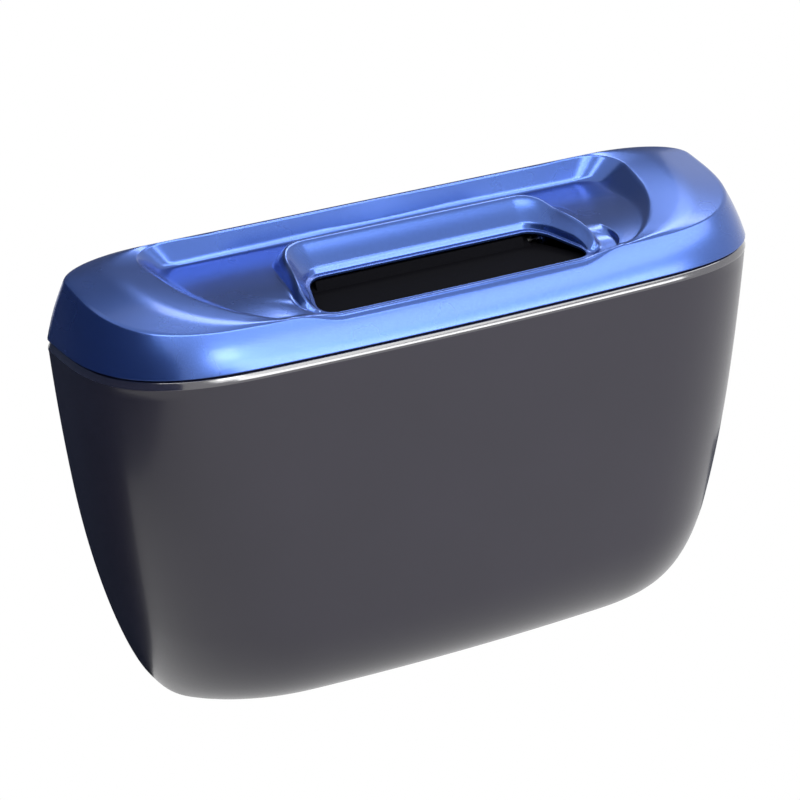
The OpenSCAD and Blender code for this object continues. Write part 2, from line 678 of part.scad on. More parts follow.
// A plate in the guide, bent over at the top into a tongue that hangs down
module hook(side) {
    gap = hook_t + 2 * hook_fit + guide_t + hook_space - hook_fit;
    color(inner_color)
        translate([side * hook_x, half_d + hook_fit, bin_h - hook_top]) {
            translate([-hook_plate_w / 2, 0, 1.2 - hook_l]) cube([hook_plate_w, hook_t, hook_l - hook_t - 2.2]);
            rotate([90, 0, 90]) linear_extrude(hook_w, center = true)
                polygon(concat(
                    [[0, -hook_t - 3], [0, -hook_t]],
                    [for (i = [1 : 3]) [hook_t * (1 - cos(30 * i)), -hook_t * (1 - sin(30 * i))]],
                    [for (i = [3 : -1 : 0]) [gap + hook_t * cos(30 * i), -hook_t * (1 - sin(30 * i))]],
                    [[gap + hook_t, 5 - hook_l], [gap + hook_t + 1.4, 0.8 - hook_l], [gap + 1.4, 0.4 - hook_l],
                        [gap, 5 - hook_l], [gap, -hook_t - 0.8], [gap - 0.8, -hook_t], [hook_t, -hook_t],
                        [hook_t, -hook_t - 3]]));
        }
}

module hook_left() {
    hook(-1);
}

module hook_right() {
    hook(1);
}

bin();
cover();
flap();
flap_shaft();
flap_spring_left();
flap_spring_right();
hinge_pin_left();
hinge_pin_right();
hook_left();
hook_right();
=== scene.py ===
import math

import bmesh
import bpy
import numpy as np
from mathutils import Matrix, Vector


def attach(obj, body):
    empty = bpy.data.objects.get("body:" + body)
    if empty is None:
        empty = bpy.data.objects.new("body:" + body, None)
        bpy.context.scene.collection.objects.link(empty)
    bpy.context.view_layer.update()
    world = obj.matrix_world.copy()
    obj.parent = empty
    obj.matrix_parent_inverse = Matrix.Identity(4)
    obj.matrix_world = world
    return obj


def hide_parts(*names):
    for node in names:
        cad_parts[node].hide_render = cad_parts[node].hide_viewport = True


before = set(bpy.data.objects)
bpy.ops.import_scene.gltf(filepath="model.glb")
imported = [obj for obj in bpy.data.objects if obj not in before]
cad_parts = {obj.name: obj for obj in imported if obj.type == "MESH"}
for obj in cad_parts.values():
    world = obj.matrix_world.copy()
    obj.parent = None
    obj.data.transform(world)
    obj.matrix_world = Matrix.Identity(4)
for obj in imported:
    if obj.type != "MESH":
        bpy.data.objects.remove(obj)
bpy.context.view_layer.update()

# Camera. Low to the left of the bin's front, with a long lens, as the bin was
# photographed: 27 degrees round and 24 degrees up, 0.95 m from its middle.
view_turn = math.radians(-27.122)
view_rise = math.radians(24.0)
view_roll = math.radians(-2.325)
view_back = Vector((
    math.sin(view_turn) * math.cos(view_rise),
    -math.cos(view_turn) * math.cos(view_rise),
    math.sin(view_rise)))
view_right = Vector((math.cos(view_turn), math.sin(view_turn), 0))
view_up = view_back.cross(view_right)
rolled_right = view_right * math.cos(view_roll) + view_up * math.sin(view_roll)
rolled_up = view_up * math.cos(view_roll) - view_right * math.sin(view_roll)
bin_middle = Vector((0, 0, 0.0635))
camera_distance = 0.9466
bpy.ops.object.camera_add(location=bin_middle + view_back * camera_distance)
camera = bpy.context.object
camera.name = "camera"
camera.rotation_mode = "QUATERNION"
camera_axes = Matrix((rolled_right, rolled_up, view_back)).transposed()
camera.rotation_quaternion = camera_axes.to_quaternion()
camera.data.lens = 131.1
camera.data.sensor_width = 36
camera.data.shift_x = -0.0332
camera.data.shift_y = 0.0761
bpy.context.scene.camera = camera
bpy.context.scene.view_settings.view_transform = "Standard"

# Cover. One moulded ABS shell with a blue pearl finish. A band rises from the
# seam to a crease, a shallow tray is sunk in the top, and a hood arches round
# the drop opening, whose front edge rolls over into a lip.
seam_half_w = 117.5
seam_half_d = 33.5
seam_z = 123.5
crease_low = 10.9
crease_high = 22.3
crease_y0 = -27.5
mouth_y0 = -25.2
mouth_y1 = -1.6
mouth_front_w = 48.8
mouth_rear_w = 40.6
mouth_mid_x = 0.8
tray_floor = 14.0
wall = 2.2
front_corner = (53.5, 48)
rear_corner = (30.5, 13)


def spread(points, n):
    """n + 1 points at even steps along a line of points"""
    p = np.asarray(points, float)
    at = np.r_[0, np.cumsum(np.linalg.norm(np.diff(p, axis=0), axis=1))]
    even = np.linspace(0, at[-1], n + 1)
    return np.c_[np.interp(even, at, p[:, 0]), np.interp(even, at, p[:, 1])]


def rounded_corner(x, y, reach_x, reach_y, square, start):
    a = np.radians(start + np.linspace(0, 90, 241))
    c, s = np.cos(a), np.sin(a)
    return np.c_[x + reach_x * np.sign(c) * np.abs(c) ** (2 / square),
                 y + reach_y * np.sign(s) * np.abs(s) ** (2 / square)]


def swell(p, half_w):
    return np.clip(1 - (p[:, 0] / half_w) ** 2, 0, 1) * np.clip(-p[:, 1] / seam_half_d, 0, 1)


def bowed(p, bow=3.7, half_w=seam_half_w):
    """The whole front swells forward towards the middle of the width"""
    return np.c_[p[:, 0], p[:, 1] - bow * swell(p, half_w)]


def plan_outline(x0, x1, y0, y1, front, rear, square=3.0):
    """A closed outline from above, x0 wide at the front and x1 at the back.
    It always has the same stations, so that lines can be mixed and joined"""
    fr = rounded_corner(x0 - front[0], y0 + front[1], *front, square, -90)
    br = rounded_corner(x0 - rear[0], y1 - rear[1], *rear, 2.0, 0)
    bl = np.c_[-br[::-1, 0], br[::-1, 1]]
    fl = np.c_[-fr[::-1, 0], fr[::-1, 1]]
    out = []
    for a, b, n in ((fr, br, 12), (br, bl, 60), (bl, fl, 12), (fl, fr, 72)):
        for part, count in ((a, 26), (np.linspace(a[-1], b[0], 90), n)):
            grown = part.copy()
            grown[:, 0] *= 1 + (x1 / x0 - 1) * (part[:, 1] - y0) / (y1 - y0)
            out.append(spread(bowed(grown), count)[:-1])
    return np.concatenate(out)


def crown(p):
    """Height of the crease, which climbs from the front to the back"""
    depth = np.clip((p[:, 1] + seam_half_d) / (2 * seam_half_d), 0, 1)
    return crease_low + (crease_high - crease_low) * depth


def smooth(t):
    t = np.clip(t, 0, 1)
    return t * t * (3 - 2 * t)


def domed(p, rise):
    """The pads at both ends stand a little proud of the line from crease to crease"""
    depth = np.clip((p[:, 1] + seam_half_d) / (2 * seam_half_d), 0, 1)
    return crown(p) + rise * np.sin(np.pi * depth) * smooth((np.abs(p[:, 0]) - 57) / 14)


def at_lip(p):
    """1 along the front of the opening, 0 past its ends"""
    return smooth((57 - np.abs(p[:, 0])) / 16) * smooth((mouth_y0 + 6.7 - p[:, 1]) / 3.6)


def pushed(p, d):
    return np.c_[p[:, 0], p[:, 1] - d * at_lip(p)]


def around_mouth(dx, dy0, dy1, r, rear_dx=0.0):
    """A line round the opening, dx, dy0 and dy1 outside its ends, its front and its back"""
    ring = plan_outline(mouth_front_w + dx, mouth_rear_w + dx + rear_dx,
                        mouth_y0 - dy0, mouth_y1 + dy1, (r + 2, r + 2), (r, r), 2.0)
    return ring + np.array((mouth_mid_x, 0))


def blend(a, b, t):
    return a + (b - a) * t


def raised(p, z):
    return np.c_[p, np.broadcast_to(z, len(p))]


seam_plan = plan_outline(seam_half_w, seam_half_w, -seam_half_d, seam_half_d,
                         front_corner, rear_corner)
crease_plan = plan_outline(111.9, 111.9, crease_y0, 29.6, (47.9, 42), rear_corner)


def band_ring(t, inset=0.0):
    """A line round the band, t of the way from the seam to the crease"""
    half_w, half_d = seam_half_w - inset, seam_half_d - inset
    start = plan_outline(half_w, half_w, -half_d, half_d,
                         [c - inset for c in front_corner], [c - inset for c in rear_corner])
    full = crown(crease_plan)
    top = full - 2.6 * at_lip(crease_plan)
    share = t * top / full
    bulged = (share - 0.083 * np.sin(math.pi * share))[:, None]
    plan = seam_plan + (crease_plan - seam_plan) * bulged
    return raised(plan + start - seam_plan, blend(0.7, top, t))


def mouth_height(p):
    return 9.7 + 2.3 * np.clip((p[:, 1] - mouth_y0) / (mouth_y1 - mouth_y0), 0, 1)


def hood_share(p):
    """Share of the hood's height: full at the back, 0.7 along the flanks, and
    running out at the front"""
    flank = np.sqrt(1 - np.clip((-2.4 - p[:, 1]) / 21.8, 0, 1) ** 2)
    return 0.7 * flank + 0.3 * smooth((p[:, 1] + 4) / 12.4)


def crest_height(p):
    return blend(mouth_height(p) - 0.4, 21.6, hood_share(p))


def floor_height(p):
    """The tray's floor, which rolls over ever steeper towards the front crease"""
    return tray_floor - 2.1 * (np.clip(-6 - p[:, 1], 0, 22) / 21.5) ** 2.2


def to_lip(p, z, lip_z):
    return blend(z, lip_z, at_lip(p))


def recess_height(p):
    """Floor of the scoop at the right end, which runs on into the groove behind the lip"""
    depth = np.where(p[:, 0] > 0, 2.0, 0.8)
    return to_lip(p, floor_height(p) - depth * smooth((-14 - p[:, 1]) / 6), 9.4)


def scoop_ring(inset, dy0):
    """Wide round the scoop on the right, and close to the hood's foot on the left"""
    wide = plan_outline(60.5 - inset, 56 - inset, mouth_y0 - dy0, 16.4 - inset,
                        (7, 9), (12, 12), 2.0)
    close = around_mouth(7.4 - inset, dy0, 18 - inset, 9)
    return np.where(wide[:, :1] > 0, wide, close)


def tray_line(t):
    """A line on the tray's floor, t of the way from its foot to the scoop"""
    p = blend(pushed(tray_foot_plan, 0.5), pushed(scoop_plan, 0.15), t)
    return raised(p, to_lip(p, floor_height(p), 10.15 - 0.05 * t)), 0


edge_plan = plan_outline(110.7, 110.7, -27.25, 28.7, (46.9, 41), (29.5, 12))
tray_top_plan = plan_outline(79, 88.8, -27.0, 28.0, (24, 32), (12, 12), 2.0)
tray_foot_plan = plan_outline(77, 79.6, -26.8, 26.3, (22, 30), (8, 8), 2.0)
pad_plan = blend(edge_plan, tray_top_plan, 0.5)
scoop_plan = scoop_ring(0, 1.45)
scoop_foot_plan = scoop_ring(0.7, 1.3)
foot_plan = around_mouth(6.0, 1.15, 17, 9, -0.6)
back_plan = around_mouth(5.0, 1.0, 13.2, 9)
crest_plan = around_mouth(3.9, 0.8, 10.0, 8.2)
inner_crest_plan = around_mouth(4.2, 0.8, 10.0, 8.2)
face_plan = around_mouth(2.6, 0.6, 6.0, 7.6)
rim_plan = around_mouth(1.3, 0.4, 2.1, 6.9)
riser_plan = around_mouth(0.95, 0.2, 1.5, 6.6)
mouth_plan = around_mouth(0, 0, 0, 6)
under_plan = around_mouth(1.6, 0.6, 1.8, 7)
inner_seam = plan_outline(112.85, 112.85, -28.85, 28.85, (48.85, 43.35), (25.85, 8.35))
skirt_seam = plan_outline(114.75, 114.75, -30.75, 30.75, (50.75, 45.25), (27.75, 10.25))
riser_share = np.clip((rim_plan[:, 1] - mouth_y0 - 1) / 8, 0, 1)
tray_rear = smooth((tray_top_plan[:, 1] - 18.3) / 8)
inner_top_plan = np.c_[
    tray_top_plan[:, 0],
    tray_top_plan[:, 1] - 0.1 * at_lip(tray_top_plan) + 0.2 * tray_rear]

# Each ring of the cover's section with the reach of its rounding
cover_rings = [
    (band_ring(0), 0.4),
    *((band_ring(t), 0) for t in (0.18, 0.36, 0.54, 0.7, 0.85)),
    (band_ring(1), 1.3 + 1.2 * smooth((-8 - crease_plan[:, 1:2]) / 14)),
    (raised(pushed(edge_plan, 1.1), to_lip(edge_plan, domed(edge_plan, 0.5) + 0.1, 9.45)), 0.8),
    (raised(pushed(pad_plan, 0.8), to_lip(pad_plan, domed(pad_plan, 2.3) + 0.1, 9.95)), 4),
    (raised(pushed(tray_top_plan, 0.6),
            to_lip(tray_top_plan, domed(tray_top_plan, 1.0) + 0.05, 10.1)),
     1.4 - 0.9 * smooth((tray_top_plan[:, 1:2] - 8) / 14)),
    (raised(pushed(tray_foot_plan, 0.5),
            to_lip(tray_foot_plan, floor_height(tray_foot_plan), 10.15)), 2.2),
    tray_line(0.35), tray_line(0.55), tray_line(0.78),
    (raised(pushed(scoop_plan, 0.15), to_lip(scoop_plan, floor_height(scoop_plan), 10.1)), 0.45),
    (raised(scoop_foot_plan, recess_height(scoop_foot_plan) + 0.05), 0.5),
    (raised(foot_plan, recess_height(foot_plan)), 1.6),
    (raised(back_plan, blend(recess_height(back_plan), crest_height(back_plan), 0.55)), 2),
    (raised(crest_plan, crest_height(crest_plan)), 3),
    (raised(face_plan, blend(crest_height(face_plan),
                             mouth_height(face_plan) + 2 * riser_share, 0.52)), 2),
    (raised(rim_plan, mouth_height(rim_plan) + 2.0 * riser_share), 0.7),
    (raised(riser_plan, mouth_height(riser_plan) + 0.1), 0.2),
    (raised(mouth_plan, mouth_height(mouth_plan)), 0.25),
    (raised(mouth_plan, mouth_height(mouth_plan) - 0.9), 0.2),
    (raised(under_plan, mouth_height(under_plan) - 1.2), 1),
    (raised(inner_crest_plan,
            blend(mouth_height(crest_plan) - 2.2, 18.3, hood_share(crest_plan))), 1.5),
    (raised(foot_plan, recess_height(foot_plan) - wall + 0.7), 2),
    (raised(tray_foot_plan,
            to_lip(tray_foot_plan, floor_height(tray_foot_plan), 10.15) - wall), 2),
    (raised(inner_top_plan,
            blend(to_lip(tray_top_plan, crown(tray_top_plan), 10.2) - wall,
                  tray_floor + 0.2, tray_rear)), 1),
    (band_ring(0.7, wall), 2),
    (band_ring(0.35, wall), 0.5),
    (raised(inner_seam, 1.9), 0.3),
    (raised(inner_seam, -3.6), 0.4),
    (raised(skirt_seam, -3.6), 0.4),
    (raised(skirt_seam, 0.7), 0.3),
]


def section_lines(rings):
    """All lines of a closed section: a rounded ring becomes an arc of seven, and
    two more stand in each long flat"""
    n = len(rings)
    arcs = []
    for k, (ring, reach) in enumerate(rings):
        if np.ndim(reach) == 0 and reach == 0:
            arcs.append([ring])
        else:
            a, b = rings[k - 1][0] - ring, rings[(k + 1) % n][0] - ring
            la = np.linalg.norm(a, axis=1)[:, None] + 1e-9
            lb = np.linalg.norm(b, axis=1)[:, None] + 1e-9
            t = np.minimum(reach, 0.46 * np.minimum(la, lb))
            p, q = ring + a / la * t, ring + b / lb * t
            arcs.append([(1 - u) ** 2 * p + 2 * u * (1 - u) * ring + u * u * q
                         for u in np.linspace(0, 1, 7)])
    out = []
    for k, arc in enumerate(arcs):
        out += arc
        if np.min(rings[k][1]) > 1.4 and np.min(rings[(k + 1) % n][1]) > 0.6:
            after = arcs[(k + 1) % n][0]
            out += [blend(arc[-1], after, 1 / 3), blend(arc[-1], after, 2 / 3)]
    return out


def clear_selection():
    for o in bpy.context.selected_objects:
        o.select_set(False)


def shell_from_rings(name, rings, closed):
    """A ring of edges is added and extruded once for each line of the section"""
    clear_selection()
    bpy.ops.mesh.primitive_circle_add(vertices=len(rings[0]), radius=0.1)
    piece = bpy.context.object
    piece.name = name
    for v, p in zip(piece.data.vertices, rings[0]):
        v.co = (p[0] / 1000, p[1] / 1000, (seam_z + p[2]) / 1000)
    bpy.ops.object.mode_set(mode="EDIT")
    bpy.ops.mesh.select_all(action="SELECT")
    if not closed:
        bpy.ops.mesh.edge_face_add()
    mesh = bmesh.from_edit_mesh(piece.data)
    line = list(mesh.verts)
    for f in mesh.faces:
        f.select = False
    for e in mesh.edges:
        e.select = True
    for ring in rings[1:]:
        bpy.ops.mesh.extrude_edges_move()
        mesh = bmesh.from_edit_mesh(piece.data)
        ahead = [next(e.other_vert(v) for e in v.link_edges if e.other_vert(v).select)
                 for v in line]
        for v, p in zip(ahead, ring):
            v.co = (p[0] / 1000, p[1] / 1000, (seam_z + p[2]) / 1000)
        line = ahead
        bmesh.update_edit_mesh(piece.data)
    if closed:
        bpy.ops.mesh.select_all(action="DESELECT")
        bpy.ops.mesh.select_mode(type="EDGE")
        bpy.ops.mesh.select_non_manifold()
        bpy.ops.mesh.bridge_edge_loops()
    else:
        bpy.ops.mesh.edge_face_add()
    bpy.ops.mesh.select_all(action="SELECT")
    bpy.ops.mesh.normals_make_consistent(inside=False)
    bpy.ops.object.mode_set(mode="OBJECT")
    bpy.ops.object.shade_smooth()
    return piece


def side_profile(name, points, x, width, bevel=0.3):
    """A flat profile seen from the end, extruded along the width and bevelled"""
    clear_selection()
    bpy.ops.mesh.primitive_circle_add(vertices=len(points), radius=0.01, fill_type="NGON")
    piece = bpy.context.object
    piece.name = name
    for v, (y, z) in zip(piece.data.vertices, points):
        v.co = ((x - width / 2) / 1000, y / 1000, z / 1000)
    bpy.ops.object.mode_set(mode="EDIT")
    bpy.ops.mesh.select_all(action="SELECT")
    bpy.ops.mesh.extrude_region_move(TRANSFORM_OT_translate={"value": (width / 1000, 0, 0)})
    bpy.ops.mesh.select_all(action="SELECT")
    bpy.ops.mesh.normals_make_consistent(inside=False)
    bpy.ops.object.mode_set(mode="OBJECT")
    if bevel:
        edge = piece.modifiers.new("edge", "BEVEL")
        edge.width = bevel / 1000
        edge.segments = 2
        edge.angle_limit = math.radians(40)
        bpy.ops.object.modifier_apply(modifier="edge")
    bpy.ops.object.shade_smooth_by_angle(angle=math.radians(35))
    return piece


def arc_points(y, z, r, start, end, n):
    return [(y + r * math.cos(math.radians(a)), z + r * math.sin(math.radians(a)))
            for a in np.linspace(start, end, n)]


def joined(main, *others):
    clear_selection()
    for o in others:
        o.select_set(True)
    main.select_set(True)
    bpy.context.view_layer.objects.active = main
    bpy.ops.object.join()
    return main


def new_material(name):
    material = bpy.data.materials.new(name)
    material.use_nodes = True
    nodes, links = material.node_tree.nodes, material.node_tree.links
    return material, nodes, links, nodes["Principled BSDF"]


def noise_on_object(nodes, links, scale, detail=2.0):
    place = nodes.new("ShaderNodeTexCoord")
    noise = nodes.new("ShaderNodeTexNoise")
    noise.inputs["Scale"].default_value = scale
    noise.inputs["Detail"].default_value = detail
    links.new(place.outputs["Object"], noise.inputs["Vector"])
    return noise


hinge_x = 60
hinge_y = 36.9
shaft_y = 2.6
shaft_z = 130.5
cover = shell_from_rings("cover_shell", section_lines(cover_rings), True)
cover_parts = []
for side in (-1, 1):
    knuckle = arc_points(hinge_y, seam_z, 3, 20, -180, 20) + [
        (hinge_y - 2.1, seam_z + 1.5), (hinge_y - 4.5, seam_z + 1.5),
        (hinge_y - 4.5, seam_z + 7.8)]
    cover_parts.append(side_profile("cover_knuckle", knuckle, side * hinge_x, 14))
    shaft_ear = arc_points(shaft_y, shaft_z, 2.6, -60, -250, 14) + [
        (5.6, 134.1), (16.4, 134.1), (16.4, 136.3), (22.4, 136.3), (22.4, 134.3)]
    cover_parts.append(side_profile("shaft_ear", shaft_ear, side * 46.3, 3))
cover_parts.append(side_profile("stop_ledge", [
    (-29.4, 131.0), (-25.8, 131.0), (-25.8, 132.2), (-29.4, 132.2)], 0, 87))
cover = joined(cover, *cover_parts)

pearl_blue, nodes, links, paint = new_material("pearl_blue")
flakes = noise_on_object(nodes, links, 2600, 1.0)
flake_share = nodes.new("ShaderNodeMapRange")
flake_share.inputs["From Min"].default_value = 0.42
flake_share.inputs["From Max"].default_value = 0.66
links.new(flakes.outputs["Fac"], flake_share.inputs["Value"])
blue_mix = nodes.new("ShaderNodeMix")
blue_mix.data_type = "RGBA"
blue_mix.inputs["A"].default_value = (0.056, 0.116, 0.38, 1)
blue_mix.inputs["B"].default_value = (0.064, 0.132, 0.42, 1)
links.new(flake_share.outputs["Result"], blue_mix.inputs["Factor"])
links.new(blue_mix.outputs["Result"], paint.inputs["Base Color"])
haze = noise_on_object(nodes, links, 45, 3.0)
haze_range = nodes.new("ShaderNodeMapRange")
haze_range.inputs["To Min"].default_value = 0.25
haze_range.inputs["To Max"].default_value = 0.29
links.new(haze.outputs["Fac"], haze_range.inputs["Value"])
links.new(haze_range.outputs["Result"], paint.inputs["Roughness"])
flake_bump = nodes.new("ShaderNodeBump")
flake_bump.inputs["Strength"].default_value = 0.02
flake_bump.inputs["Distance"].default_value = 0.0002
links.new(flakes.outputs["Fac"], flake_bump.inputs["Height"])
links.new(flake_bump.outputs["Normal"], paint.inputs["Normal"])
paint.inputs["Metallic"].default_value = 0.9
paint.inputs["Coat Weight"].default_value = 0.35
paint.inputs["Coat Roughness"].default_value = 0.12
cover.data.materials.clear()
cover.data.materials.append(pearl_blue)
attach(cover, "cover_body")
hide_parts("cover")

# Bin. A deep charcoal ABS moulding with a soft gloss. Its ends taper and its
# front rolls under to a flat base, while the back stays flat for the hooks.
bin_h = seam_z
bin_wall = 2.4
roll_height = 34
hook_x = 28


def rolled_in(s, reach, height):
    """How far the wall has rolled in at depth s, over the last height above the base"""
    q = min(1, max(0, (s - (bin_h - height)) / height))
    return reach * (1 - math.sqrt(1 - q * q))


def bin_plan(s, inset):
    """The bin's outline at depth s below its rim"""
    t = s / bin_h
    x = seam_half_w - 6.1 * t - 10.2 * t * t - rolled_in(s, 10.7, 75) - inset
    y0 = -seam_half_d + 5.9 * t + rolled_in(s, 23.4, roll_height) + inset
    y1 = seam_half_d - rolled_in(s, 6, 6) - inset
    k = x / seam_half_w
    rear = (rear_corner[0] * k - inset, min(rear_corner[1] - inset, 0.35 * (y1 - y0)))
    front = (front_corner[0] * k - inset,
             min(front_corner[1] - inset, y1 - y0 - rear[1] - 1))
    return bowed(plan_outline(x, x, y0, y1, front, rear, 3 - 0.6 * t), 9 * t, x)


bin_depths = [bin_h - roll_height * (1 - math.cos(math.radians(a))) for a in range(0, 90, 5)]
bin_depths += list(np.linspace(bin_h - roll_height, 3, 30))
bin_rings = [raised(bin_plan(s, 0), -s) for s in bin_depths]
# The rim: a chamfer, the flat that the cover rests on, and the inner edge
rim_section = ((0.0, 2.4), (0.02, 2.15), (0.08, 1.85), (0.17, 1.6), (0.66, 0.48), (0.8, 0.28),
               (1.0, 0.12), (1.3, 0.03), (1.7, 0.0), (2.1, 0.0), (2.4, 0.3))
for inset, drop in rim_section:
    bin_rings.append(raised(bin_plan(0, inset), -drop))
floor_depth = bin_h - bin_wall
inner_depths = list(np.linspace(4, 81, 12))
inner_depths += [floor_depth - roll_height * (1 - math.cos(math.radians(a)))
                 for a in range(80, -1, -10)]
for s in inner_depths:
    bin_rings.append(raised(bin_plan(s * bin_h / floor_depth, bin_wall), -s))
bin_shell = shell_from_rings("bin_shell", bin_rings, False)
hinge_ear = ([(hinge_y - 4.6, seam_z - 9)] + arc_points(hinge_y, seam_z, 3, -18, 180, 18)
             + [(hinge_y - 2.9, seam_z - 0.8), (hinge_y - 4.6, seam_z - 0.8)])
guide_wall = [(32.9, 88.5), (38.3, 88.5), (38.3, 114.9), (32.9, 114.9)]
guide_lip = [(36.5, 88.5), (38.3, 88.5), (38.3, 114.9), (36.5, 114.9)]
guide_foot = [(32.9, 86.7), (38.3, 86.7), (38.3, 88.5), (32.9, 88.5)]
bin_parts = []
for side in (-1, 1):
    for ear in (-1, 1):
        bin_parts.append(side_profile("hinge_ear", hinge_ear, side * hinge_x + ear * 9.3, 4))
    for edge in (-1, 1):
        bin_parts.append(side_profile(
            "hook_guide_wall", guide_wall, side * hook_x + edge * 11.1, 1.8))
        bin_parts.append(side_profile(
            "hook_guide_lip", guide_lip, side * hook_x + edge * 9.2, 3.8))
    bin_parts.append(side_profile("hook_guide_foot", guide_foot, side * hook_x, 24))
bin_shell = joined(bin_shell, *bin_parts)

charcoal_abs, nodes, links, plastic = new_material("charcoal_abs")
mottle = noise_on_object(nodes, links, 30, 3.0)
shade = nodes.new("ShaderNodeMix")
shade.data_type = "RGBA"
shade.inputs["A"].default_value = (0.013, 0.011, 0.021, 1)
shade.inputs["B"].default_value = (0.017, 0.014, 0.027, 1)
links.new(mottle.outputs["Fac"], shade.inputs["Factor"])
links.new(shade.outputs["Result"], plastic.inputs["Base Color"])
grain = noise_on_object(nodes, links, 1500, 2.0)
grain_range = nodes.new("ShaderNodeMapRange")
grain_range.inputs["To Min"].default_value = 0.30
grain_range.inputs["To Max"].default_value = 0.38
links.new(grain.outputs["Fac"], grain_range.inputs["Value"])
links.new(grain_range.outputs["Result"], plastic.inputs["Roughness"])
grain_bump = nodes.new("ShaderNodeBump")
grain_bump.inputs["Strength"].default_value = 0.04
grain_bump.inputs["Distance"].default_value = 0.0002
links.new(grain.outputs["Fac"], grain_bump.inputs["Height"])
links.new(grain_bump.outputs["Normal"], plastic.inputs["Normal"])
plastic.inputs["Coat Weight"].default_value = 0.35
plastic.inputs["Coat Roughness"].default_value = 0.14
bin_shell.data.materials.clear()
bin_shell.data.materials.append(charcoal_abs)

# The rim is the same plastic, left polished by the mould
polished_rim = charcoal_abs.copy()
polished_rim.name = "polished_rim"
bin_shell.data.materials.append(polished_rim)
for link in list(polished_rim.node_tree.links):
    if link.to_node.type == "BSDF_PRINCIPLED" and link.to_socket.name in ("Roughness", "Normal"):
        polished_rim.node_tree.links.remove(link)
bead = next(n for n in polished_rim.node_tree.nodes if n.type == "BSDF_PRINCIPLED")
bead.inputs["Roughness"].default_value = 0.16
bead.inputs["Specular IOR Level"].default_value = 1.0
bead.inputs["Coat Weight"].default_value = 1.0
bead.inputs["Coat IOR"].default_value = 1.7
bead.inputs["Coat Roughness"].default_value = 0.08
for f in bin_shell.data.polygons:
    on_rim = f.center.z > (seam_z - 2.3) / 1000 and f.normal.z > -0.1
    if on_rim and (f.normal.xy.dot(f.center.xy) > 0 or f.normal.z > 0.9):
        f.material_index = 1
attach(bin_shell, "bin_body")
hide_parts("bin")

# Flap. A black moulded plate that closes the opening from below. Its two lugs
# turn on the steel shaft, and it shuts against the ledge inside the cover.
flap_top = 130.7
clear_selection()
flap_plan = [(42, -0.5), (-42, -0.5)]
for end, angles in ((-1, range(0, 91, 15)), (1, range(90, -1, -15))):
    flap_plan += [(end * (46.2 + 5 * math.cos(math.radians(a))),
                   -23.8 - 5 * math.sin(math.radians(a))) for a in angles]
bpy.ops.mesh.primitive_circle_add(vertices=len(flap_plan), radius=0.02, fill_type="NGON")
flap = bpy.context.object
flap.name = "flap_plate"
for v, (x, y) in zip(flap.data.vertices, flap_plan):
    v.co = (x / 1000, y / 1000, (flap_top - 2) / 1000)
bpy.ops.object.mode_set(mode="EDIT")
bpy.ops.mesh.select_all(action="SELECT")
bpy.ops.mesh.extrude_region_move(TRANSFORM_OT_translate={"value": (0, 0, 0.002)})
bpy.ops.mesh.select_all(action="SELECT")
bpy.ops.mesh.normals_make_consistent(inside=False)
bpy.ops.object.mode_set(mode="OBJECT")
edge = flap.modifiers.new("edge", "BEVEL")
edge.width = 0.0005
edge.segments = 3
edge.angle_limit = math.radians(40)
bpy.ops.object.modifier_apply(modifier="edge")
bpy.ops.object.shade_smooth_by_angle(angle=math.radians(35))
flap_parts = []
for side in (-1, 1):
    flap_parts.append(side_profile("flap_lug", arc_points(shaft_y, shaft_z, 2.4, -90, 110, 16) + [
        (-2.8, flap_top), (-5.8, flap_top - 2)], side * 37.6, 4))
    flap_parts.append(side_profile("flap_rib", [
        (-22.3, flap_top - 1), (-22.3, flap_top - 2.5), (-17.3, flap_top - 4.5),
        (-3.5, flap_top - 4.5), (-3.5, flap_top - 1)], side * 13.2, 1.4))
flap_parts.append(side_profile("flap_upstand", [
    (-0.5, flap_top - 2), (-0.5, 133.7), (-1.7, 133.7), (-2.9, flap_top - 0.5),
    (-3.9, flap_top - 2)], 0, 74))
flap = joined(flap, *flap_parts)

# The flap's black is near zero and its IOR low, darker and duller than the plastic itself: partly
# the plate's own black, partly painted shade for the dark inside of the opening.
black_and_painted_shade, nodes, links, matt = new_material("black_and_painted_shade")
fine = noise_on_object(nodes, links, 1800, 2.0)
black_and_shade_mix = nodes.new("ShaderNodeMix")
black_and_shade_mix.data_type = "RGBA"
black_and_shade_mix.inputs["A"].default_value = (0.003, 0.003, 0.004, 1)
black_and_shade_mix.inputs["B"].default_value = (0.006, 0.006, 0.008, 1)
links.new(fine.outputs["Fac"], black_and_shade_mix.inputs["Factor"])
links.new(black_and_shade_mix.outputs["Result"], matt.inputs["Base Color"])
fine_bump = nodes.new("ShaderNodeBump")
fine_bump.inputs["Strength"].default_value = 0.25
fine_bump.inputs["Distance"].default_value = 0.0002
links.new(fine.outputs["Fac"], fine_bump.inputs["Height"])
links.new(fine_bump.outputs["Normal"], matt.inputs["Normal"])
matt.inputs["Roughness"].default_value = 0.75
matt.inputs["IOR"].default_value = 1.1
flap.data.materials.clear()
flap.data.materials.append(black_and_painted_shade)
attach(flap, "flap_body")
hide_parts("flap")

